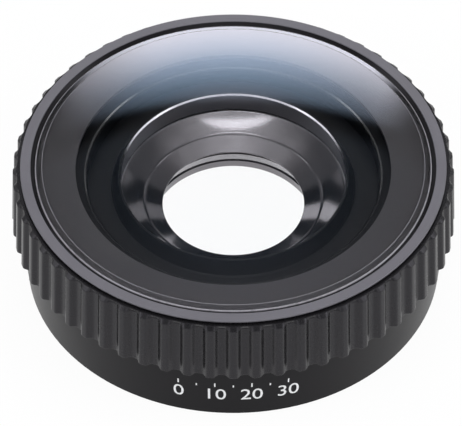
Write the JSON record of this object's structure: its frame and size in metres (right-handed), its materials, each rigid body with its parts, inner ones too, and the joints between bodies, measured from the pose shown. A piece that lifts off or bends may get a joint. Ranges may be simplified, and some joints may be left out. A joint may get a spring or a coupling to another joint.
{
  "type": "action camera wide-angle lens",
  "caption": "Round wide-angle front lens with a ribbed twist ring, a tapered base and a bayonet socket behind.",
  "frame": {"origin": "middle of the rear face, on the optical axis; the lens rests on this face", "axes": "+Z along the optical axis to the front glass; -Y towards the side that carries the printed scale"},
  "size_m": [0.046, 0.046, 0.017],
  "materials": {
    "base_black": "satin moulded",
    "plate_black": "satin moulded",
    "seal_rubber": "matt",
    "screw_steel": "bright",
    "spring_steel": "bright",
    "lock_steel": "fine turned",
    "barrel_black": "black anodised",
    "washer_plastic": "smooth",
    "grip_black": "satin anodised",
    "bezel_grey": "satin anodised",
    "mask_grey": "matt",
    "coated_glass": "coated",
    "clear_glass": "coated",
    "flint_glass": "coated"
  },
  "bodies": {
    "housing": {"rear_base": "base_black", "mount_plate": "plate_black", "rear_gasket": "seal_rubber", "mount_screws": "screw_steel", "wave_spring": "spring_steel", "barrel_screws": "screw_steel", "optical_barrel": "barrel_black", "glide_washer": "washer_plastic", "front_bezel": "bezel_grey", "mask_ring": "mask_grey", "front_glass": "coated_glass", "front_gasket": "seal_rubber", "inner_glass": "clear_glass", "inner_retaining_ring": "barrel_black", "aperture_baffle": "barrel_black", "rear_crown_glass": "clear_glass", "rear_flint_glass": "flint_glass", "rear_retaining_ring": "barrel_black"},
    "twist_ring": {"grip_ring": "grip_black", "lock_ring": "lock_steel", "drive_pins": "screw_steel"}
  },
  "joints": [
    {"name": "twist", "type": "hinge", "parent": "housing", "child": "twist_ring", "pos_m": [0, 0, 0], "axis": [0, 0, 1], "range_deg": [0, 30]}
  ]
}
